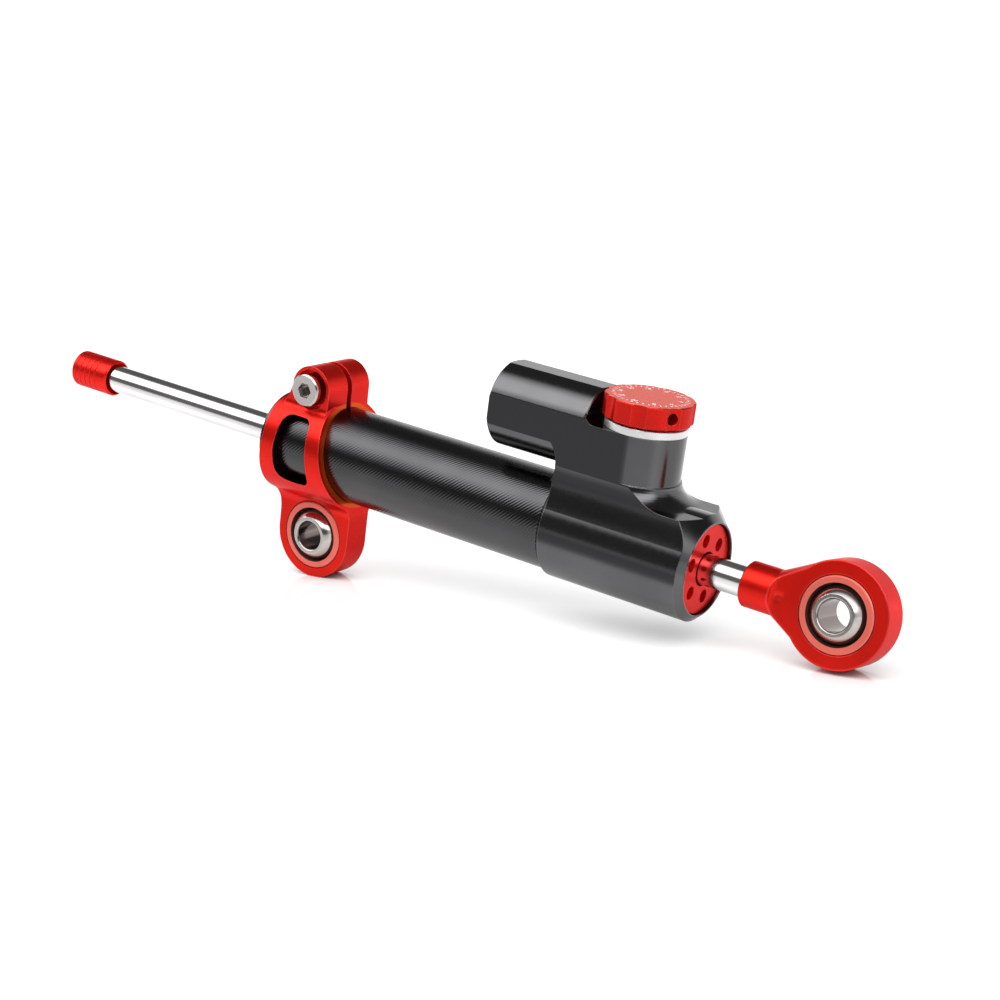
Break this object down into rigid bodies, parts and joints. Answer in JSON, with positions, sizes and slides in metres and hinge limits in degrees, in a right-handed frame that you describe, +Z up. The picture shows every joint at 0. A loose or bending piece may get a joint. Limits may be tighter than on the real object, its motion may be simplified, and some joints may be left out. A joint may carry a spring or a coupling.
{
  "type": "motorcycle steering damper",
  "caption": "Motorcycle steering damper with a black body, red clamp, knob and rod eye, a chrome through rod and a small reservoir.",
  "frame": {"origin": "centre of the clamp's spherical bearing, half way along its bore", "axes": "+Y along the clamp bearing's bore, +X level towards the rod's eye, +Z up with both eyes standing on one floor"},
  "size_m": [0.2663, 0.0304, 0.0665],
  "materials": {
    "black_anodised": "satin black anodised, turned",
    "red_anodised": "satin red anodised, milled",
    "race_red": "satin, light red",
    "chrome_rod": "mirror",
    "polished_steel": "polished",
    "plain_steel": "turned",
    "plain_aluminium": "bright turned",
    "bearing_bronze": "turned",
    "seal_rubber": "matte",
    "slide_plastic": "matte"
  },
  "bodies": {
    "housing": {"damper_tube": "black_anodised", "inner_liner": "plain_steel", "liner_oring": "seal_rubber", "head_body": "black_anodised", "head_oring": "seal_rubber", "front_gland": "red_anodised", "front_bush": "bearing_bronze", "front_rod_seal": "seal_rubber", "front_wiper": "seal_rubber", "front_gland_oring": "seal_rubber", "rear_gland": "black_anodised", "rear_bush": "bearing_bronze", "rear_rod_seal": "seal_rubber", "rear_wiper": "seal_rubber", "rear_gland_oring": "seal_rubber", "reservoir_plug": "black_anodised", "plug_oring": "seal_rubber", "plug_circlip": "plain_steel", "fill_screw": "plain_steel", "dial_ring": "plain_aluminium", "spindle_circlip": "plain_steel", "needle_seat": "bearing_bronze", "detent_ball": "polished_steel", "detent_spring": "plain_steel"},
    "clamp": {"clamp": "red_anodised", "clamp_screw": "polished_steel", "clamp_race": "race_red"},
    "clamp_ball": {"clamp_ball": "polished_steel"},
    "floating_piston": {"floating_piston": "black_anodised", "floating_piston_oring": "seal_rubber"},
    "adjuster": {"adjuster_knob": "red_anodised", "knob_set_screw": "plain_steel", "adjuster_spindle": "plain_steel", "spindle_oring": "seal_rubber"},
    "needle": {"needle_valve": "plain_steel"},
    "piston_ring": {"piston_ring": "slide_plastic"},
    "rod": {"piston_rod": "chrome_rod", "piston": "plain_aluminium", "piston_circlips": "plain_steel", "rod_stop_cap": "red_anodised", "rod_end": "red_anodised", "rod_end_race": "race_red"},
    "rod_end_ball": {"rod_end_ball": "polished_steel"}
  },
  "joints": [
    {"name": "rod_slide", "type": "slide", "parent": "housing", "child": "piston_ring", "axis": [0.9892, 0, -0.1464], "range_m": [-0.01, 0.065]},
    {"name": "rod_turn", "type": "hinge", "parent": "piston_ring", "child": "rod", "pos_m": [0.15944, 0, 0.00152], "axis": [0.9892, 0, -0.1464], "continuous": true},
    {"name": "rod_eye_swivel", "type": "hinge", "parent": "rod", "child": "rod_end_ball", "pos_m": [0.15944, 0, 0.00152], "axis": [-0.0216, 0.989, -0.1462], "continuous": true},
    {"name": "clamp_slide", "type": "slide", "parent": "housing", "child": "clamp", "axis": [0.9892, 0, -0.1464], "range_m": [0, 0.04]},
    {"name": "clamp_eye_swivel", "type": "hinge", "parent": "clamp", "child": "clamp_ball", "pos_m": [0, 0, 0], "axis": [0, 1, 0], "continuous": true},
    {"name": "knob_turn", "type": "hinge", "parent": "housing", "child": "adjuster", "pos_m": [0.1047, 0, 0.04046], "axis": [0.1464, 0, 0.9892], "range_deg": [-150, 150]},
    {"name": "needle_lift", "type": "slide", "parent": "housing", "child": "needle", "axis": [0.1464, 0, 0.9892], "range_m": [-0.00063, 0.00063]},
    {"name": "floating_piston_slide", "type": "slide", "parent": "housing", "child": "floating_piston", "axis": [0.9892, 0, -0.1464], "range_m": [-0.0035, 0.0035]}
  ],
  "couplings": [
    {"joint": "needle_lift", "follows": "knob_turn", "m_per_rad": 0.00023873}
  ]
}
